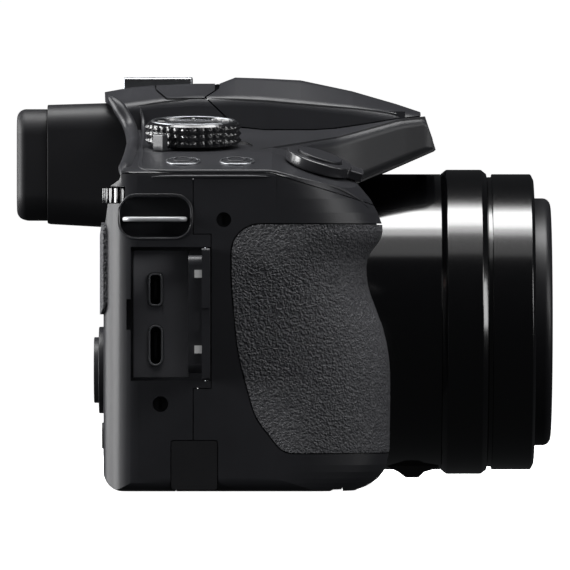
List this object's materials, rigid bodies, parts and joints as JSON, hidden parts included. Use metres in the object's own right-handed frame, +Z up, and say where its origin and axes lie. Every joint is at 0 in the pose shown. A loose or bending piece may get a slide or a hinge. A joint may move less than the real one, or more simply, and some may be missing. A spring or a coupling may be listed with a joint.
{
  "type": "bridge camera",
  "caption": "Bridge camera with a deep hand grip, long collared zoom lens, pop-up flash hump, eyepiece block, mode dial and a side connector door standing open.",
  "frame": {"origin": "mouth of the tripod socket on the flat base, under the optical axis", "axes": "+Z up out of the base, -Y along the optical axis towards the subject, -X towards the hand grip"},
  "size_m": [0.1491, 0.1257, 0.0962],
  "materials": {
    "amber_window": "tinted",
    "barrel_black": "gloss black",
    "board_green": "circuit board",
    "brass_thread": "machined",
    "casing_black": "satin, very fine grain",
    "leather_grain": "moulded leather grain",
    "lens_glass": "coated",
    "metal_bright": "polished",
    "metal_satin": "satin",
    "pale_mark": "printed marks",
    "screen_glass": "gloss black",
    "soft_rubber": "matt",
    "stage_metal": "dark anodised"
  },
  "bodies": {
    "camera_body": {"assist_lamp_window": "amber_window", "barrel_collar_front": "barrel_black", "barrel_collar_rear": "barrel_black", "battery": "barrel_black", "battery_holder": "casing_black", "case_screws": "metal_satin", "chassis": "metal_satin", "connector_panel": "casing_black", "eyecup": "soft_rubber", "eyepiece_display": "board_green", "eyepiece_glass": "lens_glass", "eyepiece_housing": "casing_black", "flash_capacitor": "barrel_black", "flash_hinge_pin": "metal_satin", "front_cover": "casing_black", "grip_leather": "leather_grain", "hot_shoe": "metal_satin", "hot_shoe_contacts": "brass_thread", "image_sensor": "board_green", "lens_fixed_barrel": "barrel_black", "main_board": "board_green", "port_door_pin": "metal_satin", "rear_cover": "casing_black", "rear_lens_group": "stage_metal", "screen_glass": "screen_glass", "screen_panel": "casing_black", "strap_lug_grip_side": "metal_bright", "strap_lug_left_side": "metal_bright", "thumb_rest": "leather_grain", "top_cover": "casing_black", "tripod_socket": "brass_thread", "usb_socket": "metal_bright", "video_socket": "metal_bright"},
    "outer_stage": {"outer_stage": "stage_metal"},
    "front_stage": {"front_stage": "stage_metal", "front_glass": "lens_glass"},
    "cam_barrel": {"cam_barrel": "stage_metal"},
    "mode_dial": {"mode_dial": "casing_black", "mode_dial_marks": "pale_mark"},
    "power_lever": {"power_lever": "casing_black"},
    "zoom_lever": {"zoom_lever": "casing_black"},
    "shutter_button": {"shutter_button": "barrel_black"},
    "function_button_1": {"function_button_1": "casing_black"},
    "function_button_2": {"function_button_2": "casing_black"},
    "flash_unit": {"flash_lid": "casing_black", "flash_window": "lens_glass", "flash_reflector": "metal_bright"},
    "rear_wheel": {"rear_wheel": "casing_black"},
    "delete_button": {"delete_button": "casing_black"},
    "display_button": {"display_button": "casing_black"},
    "playback_button": {"playback_button": "casing_black"},
    "cursor_pad": {"cursor_pad": "casing_black"},
    "set_button": {"set_button": "casing_black"},
    "port_door": {"port_door": "casing_black", "port_door_clips": "pale_mark"},
    "coupler_flap": {"coupler_flap": "soft_rubber"},
    "battery_door": {"battery_door": "casing_black"},
    "battery_latch": {"battery_latch": "casing_black"},
    "eyepiece_focus_wheel": {"eyepiece_focus_wheel": "casing_black"},
    "flash_catch": {"flash_catch": "casing_black"}
  },
  "joints": [
    {"name": "outer_stage_slide", "type": "slide", "parent": "camera_body", "child": "outer_stage", "axis": [0, -1, 0], "range_m": [0, 0.026]},
    {"name": "front_stage_slide", "type": "slide", "parent": "outer_stage", "child": "front_stage", "axis": [0, -1, 0], "range_m": [0, 0.026]},
    {"name": "cam_turn", "type": "hinge", "parent": "camera_body", "child": "cam_barrel", "pos_m": [0, 0, 0.03855], "axis": [0, -1, 0], "range_deg": [0, 100.5]},
    {"name": "mode_dial_turn", "type": "hinge", "parent": "camera_body", "child": "mode_dial", "pos_m": [-0.051, 0.00625, 0.07925], "axis": [-0.112, 0, 0.9937], "continuous": true},
    {"name": "power_lever_turn", "type": "hinge", "parent": "camera_body", "child": "power_lever", "pos_m": [-0.051, 0.00625, 0.07925], "axis": [-0.112, 0, 0.9937], "range_deg": [0, 25]},
    {"name": "zoom_lever_turn", "type": "hinge", "parent": "camera_body", "child": "zoom_lever", "pos_m": [-0.066, -0.0223, 0.07409], "axis": [-0.2074, -0.286, 0.9355], "range_deg": [-20, 20], "stiffness_Nm_per_rad": 0.01},
    {"name": "shutter_button_press", "type": "slide", "parent": "camera_body", "child": "shutter_button", "axis": [0.2074, 0.286, -0.9355], "range_m": [0, 0.001], "stiffness_N_per_m": 400},
    {"name": "function_button_1_press", "type": "slide", "parent": "camera_body", "child": "function_button_1", "axis": [0.2164, 0, -0.9763], "range_m": [0, 0.0004], "stiffness_N_per_m": 400},
    {"name": "function_button_2_press", "type": "slide", "parent": "camera_body", "child": "function_button_2", "axis": [0.2164, 0, -0.9763], "range_m": [0, 0.0004], "stiffness_N_per_m": 400},
    {"name": "flash_hinge", "type": "hinge", "parent": "camera_body", "child": "flash_unit", "pos_m": [0, 0.0008, 0.0934], "axis": [-1, 0, 0], "range_deg": [0, 32]},
    {"name": "rear_wheel_turn", "type": "hinge", "parent": "camera_body", "child": "rear_wheel", "pos_m": [-0.064, 0.0186, 0.06785], "axis": [0, 0, 1], "continuous": true},
    {"name": "delete_button_press", "type": "slide", "parent": "camera_body", "child": "delete_button", "axis": [0, -1, 0], "range_m": [0, 0.0003], "stiffness_N_per_m": 400},
    {"name": "display_button_press", "type": "slide", "parent": "camera_body", "child": "display_button", "axis": [0, -1, 0], "range_m": [0, 0.0003], "stiffness_N_per_m": 400},
    {"name": "playback_button_press", "type": "slide", "parent": "camera_body", "child": "playback_button", "axis": [0, -1, 0], "range_m": [0, 0.0003], "stiffness_N_per_m": 400},
    {"name": "cursor_pad_press", "type": "slide", "parent": "camera_body", "child": "cursor_pad", "axis": [0, -1, 0], "range_m": [0, 0.0005], "stiffness_N_per_m": 400},
    {"name": "set_button_press", "type": "slide", "parent": "camera_body", "child": "set_button", "axis": [0, -1, 0], "range_m": [0, 0.0006], "stiffness_N_per_m": 400},
    {"name": "port_door_hinge", "type": "hinge", "parent": "camera_body", "child": "port_door", "pos_m": [-0.0833, 0.003, 0.0406], "axis": [0, 0, -1], "range_deg": [0, 90]},
    {"name": "coupler_flap_hinge", "type": "hinge", "parent": "camera_body", "child": "coupler_flap", "pos_m": [-0.084, 0.00075, 0.006], "axis": [0, 0, 1], "range_deg": [0, 90], "stiffness_Nm_per_rad": 0.002},
    {"name": "battery_door_hinge", "type": "hinge", "parent": "camera_body", "child": "battery_door", "pos_m": [-0.05, -0.0112, 0.00035], "axis": [0, -1, 0], "range_deg": [0, 90]},
    {"name": "battery_latch_slide", "type": "slide", "parent": "battery_door", "child": "battery_latch", "axis": [1, 0, 0], "range_m": [0, 0.002]},
    {"name": "eyepiece_focus_turn", "type": "hinge", "parent": "camera_body", "child": "eyepiece_focus_wheel", "pos_m": [0.022, 0.0335, 0.071], "axis": [1, 0, 0], "continuous": true},
    {"name": "flash_catch_press", "type": "slide", "parent": "camera_body", "child": "flash_catch", "axis": [-1, 0, 0], "range_m": [0, 0.0008], "stiffness_N_per_m": 400}
  ],
  "couplings": [
    {"joint": "front_stage_slide", "follows": "outer_stage_slide", "ratio": 1},
    {"joint": "cam_turn", "follows": "outer_stage_slide", "rad_per_m": 67.128}
  ]
}
